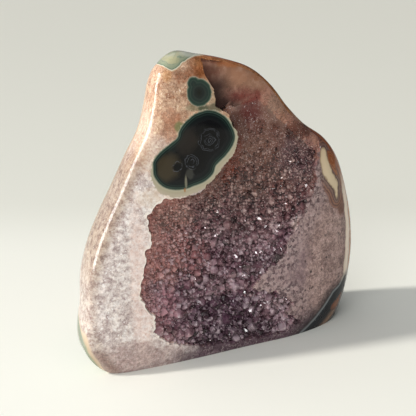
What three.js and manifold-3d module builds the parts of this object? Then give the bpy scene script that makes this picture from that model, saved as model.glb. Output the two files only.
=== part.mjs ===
// Agate freeform: a nodule of banded agate, cut and polished to a smooth standing stone, with a druse
// of amethyst left rough in a hollow of its front.
// Millimetres, +Z up, +X to the right, and the front of the stone faces -Y. The origin is on the
// ground, in the middle of the stone's length and depth.

import * as THREE from 'three';
import Module from 'manifold-3d';

const wasm = await Module();
wasm.setup();

// Driving dimensions

// Outline of the stone seen from the front, as x and z, clockwise from its lower left side. The curve
// through these points runs on below the ground, where the stone is cut off flat to stand.
const OUTLINE = [
  [-72, 30.5], [-71, 44], [-67, 58], [-61, 71], [-54.5, 83], [-48, 95.5], [-41.5, 107], [-38, 118.5],
  [-36, 128], [-32.5, 134.5], [-24.5, 140], [-14, 138.5], [-2, 136], [11, 131.5], [21.5, 123.5],
  [30.5, 113], [40.5, 103.5], [53, 95], [61.5, 84], [67.5, 68], [72, 50], [73, 31], [69, 10.5],
  [59.5, -5.5], [37.5, -13.5], [7, -9], [-23, -8], [-46, -5.5], [-64, 0], [-73.5, 12.5],
];
const HEIGHT = 139;
const HALF_LENGTH = 73;
const MIDDLE = { x: -4, z: 66 };

// Depth of the polished faces. The front is a broad flat face with a tight turn at the left end and a
// slow one at the right, and the back is a plain swelling.
const FRONT_Y = -28;
const BACK_Y = 28;
const RIM_Y = -8;
const RIM_TURN = 7;
const FRONT_FULLNESS = 4.6;
const FRONT_EASING = 2;
const BACK_FULLNESS = 2.2;
const SPINE_Y = -6;
const TOP_THINNING = 0.45;
const THINNING_POWER = 1.4;

// The hollow in the front. Its left wall is a broken ledge, from the top of the stone past the eye of
// the agate to the foot, and everywhere else it runs out gently to the polished rim.
const RIDGE = [
  [-14.5, 137], [-14.5, 133.5], [-13.5, 130], [-12.5, 127], [-10, 124], [-10, 120.5], [-10, 117],
];
const LEDGE = [
  [-6.5, 114.5], [-3.5, 112], [-0.5, 106.5], [0.5, 103], [-0.5, 98.5], [-4, 93.5], [-8.5, 89.5],
  [-12.5, 84.5], [-16.5, 81.5], [-22.5, 79], [-28, 78.5], [-35, 79], [-40.5, 76], [-44, 72],
  [-43, 64], [-42.5, 59.5], [-45.5, 57], [-45.5, 51.5], [-47, 45.5], [-49, 38.5], [-48.5, 35.5],
  [-46.5, 31], [-43, 26], [-43, 18.5], [-37, 12],
];
const FOOT_EDGE = [[-29, 8.5], [-20.5, 6], [-4.5, 4.5], [11.5, 3.5], [25.5, 3.5], [34.5, 7.5]];
const RIGHT_EDGE = [
  [25, 14], [30, 18.5], [22.5, 25], [6, 31], [15.5, 39], [24, 43], [25.5, 50.5], [33.5, 59.5],
  [43, 76.5], [41.5, 83], [45.5, 90.5],
];
const TOP_RIM = [
  [46.5, 97], [39.5, 102.5], [30, 109.5], [22, 119.5], [16, 126.5], [9.5, 130.5], [0, 134.5],
];
const DRUSE_TOP = [[43.5, 95.5], [38, 101], [28.5, 109], [20, 117.5], [13, 120.5], [2, 118.5]];

// The bare scoop above the crystals is cut a little way down into their ground
const SCOOP_FOOT = [[-4.5, 113], [2, 109], [19, 109], [34, 96], [43, 92.5]];

// Depth of the hollow below the polished face: at its left wall, how it deepens away from the wall
// and rises to the rim, and at most. The blend rounds off where one of these gives way to the next.
const WALL_DEPTH = 2.6;
const WALL_SLOPE = 0.42;
const RIM_DEPTH = 0.6;
const RIM_SLOPE = 0.3;
const MOST_DEPTH = 9;
const DEPTH_BLEND = 4;

// The crust of crystals and its bed
const BED_DEPTH = 3.2;
const CLEARANCE = 0.35;
const CRYSTAL_SPACING = 4.2;
const CRYSTAL_JITTER = 0.24;
const CRYSTAL_HEIGHT = [1.3, 3.0];
const VALLEY_DEPTH = 0.8;
const TIP_BELOW_FACE = 0.25;

// How finely the stone is divided. The grids of the hollow's floor reach from just below the ground
// to above the stone, OUTSIDE is past its front and back, and slivers are faces too thin to keep.
const CURVE_SAMPLES = 900;
const ROUND_STEPS = 76;
const FRONT_RINGS = 12;
const BACK_RINGS = 9;
const BED_CELL = 5.2;
const SCOOP_CELL = 3.2;
const GRID_FOOT = -1;
const GRID_TOP = 150;
const OUTSIDE = 60;
const SLIVER = 0.03;

// Surfaces

const outlineCurve = new THREE.CatmullRomCurve3(
  OUTLINE.map(([x, z]) => new THREE.Vector3(x, 0, z)), true, 'catmullrom', 0.5,
);
const outlinePoints = outlineCurve.getPoints(CURVE_SAMPLES).map((point) => ({
  angle: Math.atan2(point.z - MIDDLE.z, point.x - MIDDLE.x),
  radius: Math.hypot(point.x - MIDDLE.x, point.z - MIDDLE.z),
})).sort((a, b) => a.angle - b.angle);

// How far the outline is from the middle of the face in one direction
function outlineRadius(angle) {
  const count = outlinePoints.length;
  const found = outlinePoints.findIndex((point) => point.angle > angle);
  const next = outlinePoints[found < 0 ? 0 : found];
  const last = outlinePoints[((found < 0 ? 0 : found) + count - 1) % count];
  const gap = (next.angle - last.angle + 2 * Math.PI) % (2 * Math.PI);
  const along = (angle - last.angle + 2 * Math.PI) % (2 * Math.PI);
  return THREE.MathUtils.lerp(last.radius, next.radius, gap > 0 ? along / gap : 0);
}

// The point of a polished face, front or back, at a share of the way from the middle to the outline
function facePoint(angle, share, isFront) {
  const rimRadius = outlineRadius(angle);
  const x = MIDDLE.x + share * rimRadius * Math.cos(angle);
  const z = MIDDLE.z + share * rimRadius * Math.sin(angle);
  const side = THREE.MathUtils.clamp((MIDDLE.x + rimRadius * Math.cos(angle)) / HALF_LENGTH, -1, 1);
  const rimY = RIM_Y + RIM_TURN * side;
  const fullness = isFront ? FRONT_FULLNESS - FRONT_EASING * side : BACK_FULLNESS;
  const faceY = isFront ? FRONT_Y : BACK_Y;
  const inwards = Math.max(0, 1 - share ** fullness) ** (1 / fullness);
  const y = rimY + (faceY - rimY) * inwards;
  const up = THREE.MathUtils.clamp(z / HEIGHT, 0, 1);
  const thickness = 1 - TOP_THINNING * up ** THINNING_POWER;
  return new THREE.Vector3(x, SPINE_Y + thickness * (y - SPINE_Y), z);
}

// Where the polished front face lies over a point of the front view
function frontY(x, z) {
  const angle = Math.atan2(z - MIDDLE.z, x - MIDDLE.x);
  const share = Math.hypot(x - MIDDLE.x, z - MIDDLE.z) / outlineRadius(angle);
  return facePoint(angle, Math.min(share, 1), true).y;
}

// Distance from a point of the front view to a chain of points
function chainDistance(x, z, chain) {
  let nearest = Infinity;
  for (let i = 1; i < chain.length; i += 1) {
    const [ax, az] = chain[i - 1];
    const [bx, bz] = chain[i];
    const lengthSquared = (bx - ax) ** 2 + (bz - az) ** 2;
    const along = ((x - ax) * (bx - ax) + (z - az) * (bz - az)) / lengthSquared;
    const share = THREE.MathUtils.clamp(along, 0, 1);
    const distance = Math.hypot(x - ax - share * (bx - ax), z - az - share * (bz - az));
    nearest = Math.min(nearest, distance);
  }
  return nearest;
}

// How far the hollow's bare surface lies behind the polished face
function hollowDepth(x, z) {
  const fromWall = WALL_DEPTH + WALL_SLOPE * chainDistance(x, z, [...RIDGE, ...LEDGE]);
  const runOut = [...FOOT_EDGE, ...RIGHT_EDGE, ...TOP_RIM];
  const fromRim = RIM_DEPTH + RIM_SLOPE * chainDistance(x, z, runOut);
  const depths = [fromWall, fromRim, MOST_DEPTH];
  return depths.reduce((sum, depth) => sum + depth ** -DEPTH_BLEND, 0) ** (-1 / DEPTH_BLEND);
}

// Solids

// A closed solid from points and triangles, turned so that its faces point outwards
function solidFrom(points, triangles) {
  let volume = 0;
  for (const [a, b, c] of triangles) {
    volume += points[a].dot(new THREE.Vector3().crossVectors(points[b], points[c]));
  }
  const outward = volume > 0 ? triangles : triangles.map(([a, b, c]) => [a, c, b]);
  return new wasm.Manifold(new wasm.Mesh({
    numProp: 3,
    vertProperties: Float32Array.from(points.flatMap((point) => point.toArray())),
    triVerts: Uint32Array.from(outward.flat()),
  }));
}

// The solid between an open sheet of triangles and the plane y = backY
function solidBehind(points, triangles, backY) {
  const count = points.length;
  const backPoints = points.map((point) => new THREE.Vector3(point.x, backY, point.z));
  const edges = new Map();
  for (const triangle of triangles) {
    for (let i = 0; i < 3; i += 1) {
      const from = triangle[i];
      const to = triangle[(i + 1) % 3];
      if (!edges.delete(`${to} ${from}`)) {
        edges.set(`${from} ${to}`, [from, to]);
      }
    }
  }
  const all = [...triangles];
  for (const [a, b, c] of triangles) {
    all.push([count + a, count + c, count + b]);
  }
  for (const [from, to] of edges.values()) {
    all.push([from, count + from, to], [to, count + from, count + to]);
  }
  return solidFrom([...points, ...backPoints], all);
}

// A straight prism along y over an outline of the front view
function prismOver(outline) {
  const shape = new THREE.Shape(outline.map(([x, z]) => new THREE.Vector2(x, z)));
  const geometry = new THREE.ExtrudeGeometry(shape, { depth: 2 * OUTSIDE, bevelEnabled: false });
  geometry.rotateX(Math.PI / 2);
  geometry.translate(0, OUTSIDE, 0);
  return solidFromGeometry(geometry);
}

// A closed solid from a three.js geometry, with its shared corners merged
function solidFromGeometry(geometry) {
  const position = geometry.getAttribute('position');
  const numbers = new Map();
  const points = [];
  const corners = [];
  for (let i = 0; i < (geometry.index ? geometry.index.count : position.count); i += 1) {
    const vertex = geometry.index ? geometry.index.getX(i) : i;
    const point = new THREE.Vector3().fromBufferAttribute(position, vertex);
    const key = point.toArray().map((value) => value.toFixed(4)).join(' ');
    if (!numbers.has(key)) {
      numbers.set(key, points.length);
      points.push(point);
    }
    corners.push(numbers.get(key));
  }
  const triangles = [];
  for (let i = 0; i < corners.length; i += 3) {
    triangles.push(corners.slice(i, i + 3));
  }
  return solidFrom(points, triangles);
}

// Moves an outline inwards by the same distance all round
function insetOutline(outline, distance) {
  const area = THREE.ShapeUtils.area(outline.map(([x, z]) => new THREE.Vector2(x, z)));
  const turn = Math.sign(area);
  return outline.map(([x, z], i) => {
    const here = new THREE.Vector2(x, z);
    const before = new THREE.Vector2(...outline[(i + outline.length - 1) % outline.length]);
    const after = new THREE.Vector2(...outline[(i + 1) % outline.length]);
    const inFrom = here.clone().sub(before).normalize();
    const outTo = after.clone().sub(here).normalize();
    const normal = new THREE.Vector2(-(inFrom.y + outTo.y), inFrom.x + outTo.x).normalize();
    const spread = Math.max(0.5, normal.dot(new THREE.Vector2(-inFrom.y, inFrom.x)));
    const moved = here.addScaledVector(normal, (turn * distance) / spread);
    return [moved.x, moved.y];
  });
}

// The polished stone before its hollow is opened: rings of the front face, the rim they share, and
// rings of the back face
function polishedForm() {
  const points = [facePoint(0, 0, true)];
  const rings = [];
  for (let ring = 1; ring <= FRONT_RINGS; ring += 1) {
    rings.push({ share: Math.sin((ring / FRONT_RINGS) * (Math.PI / 2)), isFront: true });
  }
  for (let ring = BACK_RINGS - 1; ring >= 1; ring -= 1) {
    rings.push({ share: Math.sin((ring / BACK_RINGS) * (Math.PI / 2)), isFront: false });
  }
  for (const { share, isFront } of rings) {
    for (let step = 0; step < ROUND_STEPS; step += 1) {
      const angle = -Math.PI + ((step + 0.5) / ROUND_STEPS) * 2 * Math.PI;
      points.push(facePoint(angle, share, isFront));
    }
  }
  points.push(facePoint(0, 0, false));
  const backPole = points.length - 1;
  const triangles = [];
  for (let step = 0; step < ROUND_STEPS; step += 1) {
    const next = (step + 1) % ROUND_STEPS;
    triangles.push([0, 1 + step, 1 + next]);
    for (let ring = 1; ring < rings.length; ring += 1) {
      const inner = 1 + (ring - 1) * ROUND_STEPS;
      const outer = 1 + ring * ROUND_STEPS;
      triangles.push([inner + step, outer + step, outer + next]);
      triangles.push([inner + step, outer + next, inner + next]);
    }
    const lastRing = 1 + (rings.length - 1) * ROUND_STEPS;
    triangles.push([lastRing + step, backPole, lastRing + next]);
  }
  return solidFrom(points, triangles);
}

// The ground, as a block whose top is where the stone is cut off flat
function groundBlock() {
  const geometry = new THREE.BoxGeometry(4 * HALF_LENGTH, 4 * HALF_LENGTH, OUTSIDE);
  geometry.translate(0, 0, -OUTSIDE / 2);
  return solidFromGeometry(geometry);
}

// All the space in front of the hollow's surface, when that lies lower by extraDepth
function spaceBefore(extraDepth, cell) {
  const columns = Math.ceil((2 * HALF_LENGTH) / cell);
  const rows = Math.ceil((GRID_TOP - GRID_FOOT) / cell);
  const points = [];
  const triangles = [];
  for (let row = 0; row <= rows; row += 1) {
    for (let column = 0; column <= columns; column += 1) {
      const x = -HALF_LENGTH + column * cell;
      const z = GRID_FOOT + row * cell;
      points.push(new THREE.Vector3(x, frontY(x, z) + hollowDepth(x, z) + extraDepth, z));
      if (row > 0 && column > 0) {
        const corner = row * (columns + 1) + column;
        const below = corner - (columns + 1);
        triangles.push([below - 1, below, corner], [below - 1, corner, corner - 1]);
      }
    }
  }
  return solidBehind(points, triangles, -OUTSIDE);
}

// A repeatable random number from 0 to 1 for one place of a lattice. The factors only have to be
// large and unrelated.
const MIXING = { column: 127.1, row: 311.7, kind: 74.7, spread: 43758.5453 };
function chance(column, row, kind) {
  const angle = column * MIXING.column + row * MIXING.row + kind * MIXING.kind;
  const mixed = Math.sin(angle) * MIXING.spread;
  return mixed - Math.floor(mixed);
}

// Six-sided crystal points side by side, and all the space behind them. Each crystal is a fan of six
// flat faces round its tip, and its foot is the six valleys that it shares with its neighbours.
function spaceBehindCrystals() {
  const rowStep = CRYSTAL_SPACING * Math.sin(Math.PI / 3);
  const columns = Math.ceil((2 * HALF_LENGTH) / CRYSTAL_SPACING) + 1;
  const rows = Math.ceil((GRID_TOP - GRID_FOOT) / rowStep) + 1;
  const wander = (column, row, kind) => (
    CRYSTAL_SPACING * CRYSTAL_JITTER * (2 * chance(column, row, kind) - 1)
  );
  const seed = (column, row) => [
    -HALF_LENGTH + (column + 0.5 * (row % 2)) * CRYSTAL_SPACING + wander(column, row, 1),
    GRID_FOOT + (row - 1) * rowStep + wander(column, row, 2),
  ];
  const points = [];
  const numbers = new Map();
  const numberOf = (key, makePoint) => {
    if (!numbers.has(key)) {
      numbers.set(key, points.length);
      points.push(makePoint());
    }
    return numbers.get(key);
  };
  const tip = (column, row) => numberOf(`tip ${column} ${row}`, () => {
    const [x, z] = seed(column, row);
    const height = THREE.MathUtils.lerp(...CRYSTAL_HEIGHT, chance(column, row, 3));
    const depth = Math.max(hollowDepth(x, z) - height, TIP_BELOW_FACE);
    return new THREE.Vector3(x, frontY(x, z) + depth, z);
  });
  const valley = (places) => {
    const key = places.map((place) => place.join(',')).sort().join(' ');
    return numberOf(`valley ${key}`, () => {
      const x = places.reduce((sum, place) => sum + seed(...place)[0], 0) / places.length;
      const z = places.reduce((sum, place) => sum + seed(...place)[1], 0) / places.length;
      return new THREE.Vector3(x, frontY(x, z) + hollowDepth(x, z) + VALLEY_DEPTH, z);
    });
  };
  const triangles = [];
  for (let row = 1; row < rows; row += 1) {
    for (let column = 1; column < columns; column += 1) {
      const shift = row % 2;
      const around = [
        [column + 1, row], [column + shift, row + 1], [column + shift - 1, row + 1],
        [column - 1, row], [column + shift - 1, row - 1], [column + shift, row - 1],
      ];
      for (let side = 0; side < around.length; side += 1) {
        const before = around[(side + 5) % 6];
        const here = around[side];
        const after = around[(side + 1) % 6];
        const first = valley([[column, row], before, here]);
        const second = valley([[column, row], here, after]);
        triangles.push([tip(column, row), first, second]);
      }
    }
  }
  return solidBehind(points, triangles, OUTSIDE);
}

// Pieces

const druseOutline = [...LEDGE, ...FOOT_EDGE, ...RIGHT_EDGE, ...DRUSE_TOP];
const scoopOutline = [...RIDGE, ...SCOOP_FOOT, ...TOP_RIM];

// The stone is one piece: the polished form, less its bare scoop and the bed of the crystals
function stoneSolid() {
  const scoop = prismOver(scoopOutline).intersect(spaceBefore(0, SCOOP_CELL));
  const bed = prismOver(druseOutline).intersect(spaceBefore(BED_DEPTH, BED_CELL));
  return polishedForm().subtract(groundBlock()).subtract(scoop).subtract(bed).simplify(SLIVER);
}

// The crystals have grown together in one crust, which fills its bed and keeps clear of it all round
function crustSolid() {
  const room = prismOver(insetOutline(druseOutline, CLEARANCE));
  const crystals = spaceBehindCrystals().intersect(spaceBefore(BED_DEPTH - CLEARANCE, BED_CELL));
  return crystals.intersect(room).simplify(SLIVER);
}

// A mesh of one solid with its own material
function pieceMesh(name, solid, material) {
  const { vertProperties, triVerts } = solid.getMesh();
  const geometry = new THREE.BufferGeometry();
  geometry.setAttribute('position', new THREE.BufferAttribute(new Float32Array(vertProperties), 3));
  geometry.setIndex(new THREE.BufferAttribute(new Uint32Array(triVerts), 1));
  geometry.computeVertexNormals();
  const mesh = new THREE.Mesh(geometry, new THREE.MeshStandardMaterial(material));
  mesh.name = name;
  return mesh;
}

// Both pieces are moved together, so that the origin is in the middle of the stone's length and depth
const stone = stoneSolid();
const crust = crustSolid();
const box = stone.boundingBox();
const offset = [-(box.min[0] + box.max[0]) / 2, -(box.min[1] + box.max[1]) / 2, 0];

const agateFreeform = new THREE.Group();
agateFreeform.add(pieceMesh('agate_stone', stone.translate(offset), {
  color: 0xc2aaa6,
  roughness: 0.16,
  metalness: 0,
}));
agateFreeform.add(pieceMesh('crystal_crust', crust.translate(offset), {
  color: 0x5f4650,
  roughness: 0.22,
  metalness: 0,
}));

export default agateFreeform;
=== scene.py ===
import math

import bmesh
import bpy
import numpy as np
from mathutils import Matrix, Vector, noise


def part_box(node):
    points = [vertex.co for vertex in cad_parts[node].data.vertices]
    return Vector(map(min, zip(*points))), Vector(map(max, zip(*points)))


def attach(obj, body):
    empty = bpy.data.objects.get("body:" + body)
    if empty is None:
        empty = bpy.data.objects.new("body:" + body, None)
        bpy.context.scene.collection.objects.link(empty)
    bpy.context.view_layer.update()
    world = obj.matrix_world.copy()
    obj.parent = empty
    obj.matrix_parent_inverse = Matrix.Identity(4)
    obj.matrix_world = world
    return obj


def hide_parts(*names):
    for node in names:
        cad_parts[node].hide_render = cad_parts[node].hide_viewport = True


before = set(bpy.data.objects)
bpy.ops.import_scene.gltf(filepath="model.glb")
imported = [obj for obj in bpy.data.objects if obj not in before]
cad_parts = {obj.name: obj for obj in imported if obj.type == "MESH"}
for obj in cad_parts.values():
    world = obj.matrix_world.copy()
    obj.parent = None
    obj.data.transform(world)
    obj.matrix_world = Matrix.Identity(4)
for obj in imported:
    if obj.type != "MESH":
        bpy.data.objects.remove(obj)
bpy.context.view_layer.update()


# Camera
# The stone is seen from a little to the left of its front and from a little above, with a short
# telephoto lens. Sizes are in millimetres in every section, and MM makes metres of them.
MM = 0.001
CAMERA_AZIMUTH = math.radians(-24)
CAMERA_ELEVATION = math.radians(18)
CAMERA_DISTANCE = 380
CAMERA_AIM = Vector((-7.0, -4.45, 66))
CAMERA_LENS = 70
CAMERA_SENSOR = 36


def new_object(name, data):
    made = bpy.data.objects.new(name, data)
    bpy.context.collection.objects.link(made)
    return made


def direction(azimuth, elevation):
    """The direction from the stone towards a place at this azimuth and elevation."""
    return Vector((
        math.sin(azimuth) * math.cos(elevation),
        -math.cos(azimuth) * math.cos(elevation),
        math.sin(elevation),
    ))


camera_data = bpy.data.cameras.new("camera")
camera_data.lens = CAMERA_LENS
camera_data.sensor_width = CAMERA_SENSOR
camera_data.clip_start = 0.01
camera_data.clip_end = 50
camera = new_object("camera", camera_data)
camera_side = direction(CAMERA_AZIMUTH, CAMERA_ELEVATION)
camera.location = (CAMERA_AIM + camera_side * CAMERA_DISTANCE) * MM
camera.rotation_euler = (-camera_side).to_track_quat("-Z", "Y").to_euler()
bpy.context.scene.camera = camera


# Agate stone
# One nodule of banded agate and granular quartz, sawn flat at its foot and polished all over to a
# smooth standing form. The hollow in its front was left as it broke open, with a sharp ledge.

# Outline of the stone seen from the front, as x and z. It runs on below the ground, where the stone
# is cut off flat.
OUTLINE = [
    (-72, 30.5), (-71, 44), (-67, 58), (-61, 71), (-54.5, 83), (-48, 95.5), (-41.5, 107),
    (-38, 118.5), (-36, 128), (-32.5, 134.5), (-24.5, 140), (-14, 138.5), (-2, 136), (11, 131.5),
    (21.5, 123.5), (30.5, 113), (40.5, 103.5), (53, 95), (61.5, 84), (67.5, 68), (72, 50), (73, 31),
    (69, 10.5), (59.5, -5.5), (37.5, -13.5), (7, -9), (-23, -8), (-46, -5.5), (-64, 0), (-73.5, 12.5),
]

# Depth of the polished faces: a broad flat front with a tight turn at the left end and a slow one at
# the right, and a plain swelling behind
HEIGHT = 139
HALF_LENGTH = 73
MIDDLE_X = -4
MIDDLE_Z = 66
FRONT_Y = -28
BACK_Y = 28
RIM_Y = -8
RIM_TURN = 7
FRONT_FULLNESS = 4.6
FRONT_EASING = 2
BACK_FULLNESS = 2.2
SPINE_Y = -6
TOP_THINNING = 0.45
THINNING_POWER = 1.4

# The edge of the hollow, bit by bit, and the upper edge of its crystals
RIDGE = [
    (-14.5, 137), (-14.5, 133.5), (-13.5, 130), (-12.5, 127), (-10, 124), (-10, 120.5), (-10, 117),
]
LEDGE = [
    (-6.5, 114.5), (-3.5, 112), (-0.5, 106.5), (0.5, 103), (-0.5, 98.5), (-4, 93.5), (-8.5, 89.5),
    (-12.5, 84.5), (-16.5, 81.5), (-22.5, 79), (-28, 78.5), (-35, 79), (-40.5, 76), (-44, 72),
    (-43, 64), (-42.5, 59.5), (-45.5, 57), (-45.5, 51.5), (-47, 45.5), (-49, 38.5), (-48.5, 35.5),
    (-46.5, 31), (-43, 26), (-43, 18.5), (-37, 12),
]
FOOT_EDGE = [(-29, 8.5), (-20.5, 6), (-4.5, 4.5), (11.5, 3.5), (25.5, 3.5), (34.5, 7.5)]
RIGHT_EDGE = [
    (25, 14), (30, 18.5), (22.5, 25), (6, 31), (15.5, 39), (24, 43), (25.5, 50.5), (33.5, 59.5),
    (43, 76.5), (41.5, 83), (45.5, 90.5),
]
TOP_RIM = [
    (46.5, 97), (39.5, 102.5), (30, 109.5), (22, 119.5), (16, 126.5), (9.5, 130.5), (0, 134.5),
]
DRUSE_TOP = [(43.5, 95.5), (38, 101), (28.5, 109), (20, 117.5), (13, 120.5), (2, 118.5)]

# Depth of the hollow below the polished face: at its ledge, how it deepens away from the ledge and
# rises to the rim, and at most. Below its crystals lies their bed.
WALL_DEPTH = 2.6
LEFT_WALL_DEPTH = 1.0
LOW_LEDGE = (-20, -34)
WALL_SLOPE = 0.42
RIM_DEPTH = 0.6
TOP_RIM_DEPTH = 0.02
RIM_SLOPE = 0.3
MOST_DEPTH = 9
DEPTH_BLEND = 4
BED_DEPTH = 2.1
BED_RUN_OUT = 8

# Size of the triangles, which grow over the back, and the angle from which an edge is sharp
FRONT_CELL = 0.6
BACK_CELL_GROWTH = 1.03
MOST_BACK_CELL = 1.6
SHARP_ANGLE = math.radians(42)

# Low lumps of the hollow's bed, and how far the distances kept with the mesh reach
LUMP_HEIGHT = 0.35
LUMP_SIZE = 9
LUMP_RUN_IN = 5
FAR = 20


def smooth_step(low, high, value):
    """0 below low, 1 above high and an S-shaped rise between them."""
    share = np.clip((value - low) / (high - low), 0, 1)
    return share * share * (3 - 2 * share)


def closed_curve(points, steps):
    """Points along a smooth closed curve through the given ones."""
    points = np.array(points, float)
    share = np.linspace(0, 1, steps, endpoint=False)[:, None]
    stretches = []
    for i in range(len(points)):
        before, start, end, after = (points[(i + k) % len(points)] for k in (-1, 0, 1, 2))
        linear = (end - before) * share
        square = (2 * before - 5 * start + 4 * end - after) * share ** 2
        cube = (3 * start - before - 3 * end + after) * share ** 3
        stretches.append(0.5 * (2 * start + linear + square + cube))
    return np.concatenate(stretches)


outline = closed_curve(OUTLINE, 24)
outline_angles = np.arctan2(outline[:, 1] - MIDDLE_Z, outline[:, 0] - MIDDLE_X)
outline_radii = np.hypot(outline[:, 0] - MIDDLE_X, outline[:, 1] - MIDDLE_Z)


def outline_radius(angle):
    """How far the outline is from the middle of the face in each direction."""
    return np.interp(angle, outline_angles, outline_radii, period=2 * math.pi)


def face_point(angle, share, is_front):
    """Points of a polished face at a share of the way from its middle to the outline."""
    radius = outline_radius(angle)
    x = MIDDLE_X + share * radius * np.cos(angle)
    z = MIDDLE_Z + share * radius * np.sin(angle)
    side = np.clip((MIDDLE_X + radius * np.cos(angle)) / HALF_LENGTH, -1, 1)
    rim_y = RIM_Y + RIM_TURN * side
    fullness = FRONT_FULLNESS - FRONT_EASING * side if is_front else BACK_FULLNESS
    face_y = FRONT_Y if is_front else BACK_Y
    inwards = np.maximum(0, 1 - share ** fullness) ** (1 / fullness)
    y = rim_y + (face_y - rim_y) * inwards
    thickness = 1 - TOP_THINNING * np.clip(z / HEIGHT, 0, 1) ** THINNING_POWER
    return x, SPINE_Y + thickness * (y - SPINE_Y), z


def front_y(x, z):
    """Where the polished front face lies over each point of the front view."""
    angle = np.arctan2(z - MIDDLE_Z, x - MIDDLE_X)
    share = np.hypot(x - MIDDLE_X, z - MIDDLE_Z) / outline_radius(angle)
    return face_point(angle, np.minimum(share, 1), True)[1]


def chain_distance(x, z, chain):
    """Distance of each point of the front view to a chain of points."""
    nearest = np.full(np.shape(x), np.inf)
    for (ax, az), (bx, bz) in zip(chain[:-1], chain[1:]):
        length_squared = (bx - ax) ** 2 + (bz - az) ** 2
        share = np.clip(((x - ax) * (bx - ax) + (z - az) * (bz - az)) / length_squared, 0, 1)
        away = np.hypot(x - ax - share * (bx - ax), z - az - share * (bz - az))
        nearest = np.minimum(nearest, away)
    return nearest


def depth_inside(x, z, ring):
    """Distance of each point to a closed outline, positive inside it and negative outside."""
    ring = [tuple(point) for point in ring]
    inside = np.zeros(np.shape(x), bool)
    for (ax, az), (bx, bz) in zip(ring, ring[1:] + ring[:1]):
        if az != bz:
            crossing = ax + (z - az) * (bx - ax) / (bz - az)
            inside ^= ((az > z) != (bz > z)) & (x < crossing)
    away = chain_distance(x, z, ring + ring[:1])
    return np.where(inside, away, -away)


def ripple(x, z, size, layer):
    """Smooth random values from about -1 to 1 that change over a given size."""
    return np.array([noise.noise(Vector((a / size, b / size, layer))) for a, b in zip(x, z)])


hollow_ring = RIDGE + LEDGE + FOOT_EDGE + RIGHT_EDGE + TOP_RIM
druse_ring = LEDGE + FOOT_EDGE + RIGHT_EDGE + DRUSE_TOP


def hollow_inside(x, z):
    """Distance inside the hollow's broken edge, which is ragged all round but at the top rim."""
    chains = [RIDGE, LEDGE, FOOT_EDGE, RIGHT_EDGE, TOP_RIM]
    raggedness = [0.5, 1.1, 1.6, 1.5, 0]
    distances = np.array([chain_distance(x, z, chain) for chain in chains])
    ragged = np.array(raggedness)[np.argmin(distances, axis=0)]
    wander = ripple(x, z, 3.4, 1) + 0.55 * ripple(x, z, 1.3, 2)
    return depth_inside(x, z, hollow_ring) + ragged * wander


def hollow_depth(x, z):
    """How far the hollow's bare surface lies behind the polished face. The ledge is low at the left."""
    wall = WALL_DEPTH + (LEFT_WALL_DEPTH - WALL_DEPTH) * smooth_step(*LOW_LEDGE, x)
    from_wall = wall + WALL_SLOPE * chain_distance(x, z, RIDGE + LEDGE)
    from_rim = RIM_DEPTH + RIM_SLOPE * chain_distance(x, z, FOOT_EDGE + RIGHT_EDGE)
    from_top = TOP_RIM_DEPTH + RIM_SLOPE * chain_distance(x, z, TOP_RIM)
    powers = sum(depth ** -DEPTH_BLEND for depth in (from_wall, from_rim, from_top))
    return (powers + MOST_DEPTH ** -DEPTH_BLEND) ** (-1 / DEPTH_BLEND)


def below_druse_top(x, z):
    """Distance below the upper edge of the crystals, negative above it."""
    away = chain_distance(x, z, DRUSE_TOP)
    return np.where(depth_inside(x, z, druse_ring) > 0, away, -away)


def lumps(x, z, inside):
    """Low swellings of the hollow's bed, which die out at its edge."""
    return LUMP_HEIGHT * ripple(x, z, LUMP_SIZE, 5) * smooth_step(0, LUMP_RUN_IN, inside)


def even_shares(is_front, places):
    """Shares of the way to the outline that lie at these places along the curved surface."""
    angles = np.linspace(-math.pi, math.pi, 720, endpoint=False)
    shares = np.sin(np.linspace(0, math.pi / 2, 400))
    x, y, z = face_point(angles[:, None], shares[None, :], is_front)
    steps = np.sqrt(np.diff(x) ** 2 + np.diff(y) ** 2 + np.diff(z) ** 2)
    lengths = np.concatenate([np.zeros((len(angles), 1)), np.cumsum(steps, axis=1)], axis=1)
    table = [np.interp(np.array(places) * row[-1], row, shares) for row in lengths]
    return angles, np.array(table), lengths[:, -1].mean()


def ring_strip(first, first_count, second, second_count):
    """Triangles between two rings of points with different counts."""
    faces = []
    a = 0
    b = 0
    while a < first_count or b < second_count:
        here = first + a % first_count
        there = second + b % second_count
        if b >= second_count or (a + 0.5) * second_count <= (b + 0.5) * first_count and a < first_count:
            a += 1
            faces.append((here, there, first + a % first_count))
        else:
            b += 1
            faces.append((here, there, second + b % second_count))
    return faces


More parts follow.
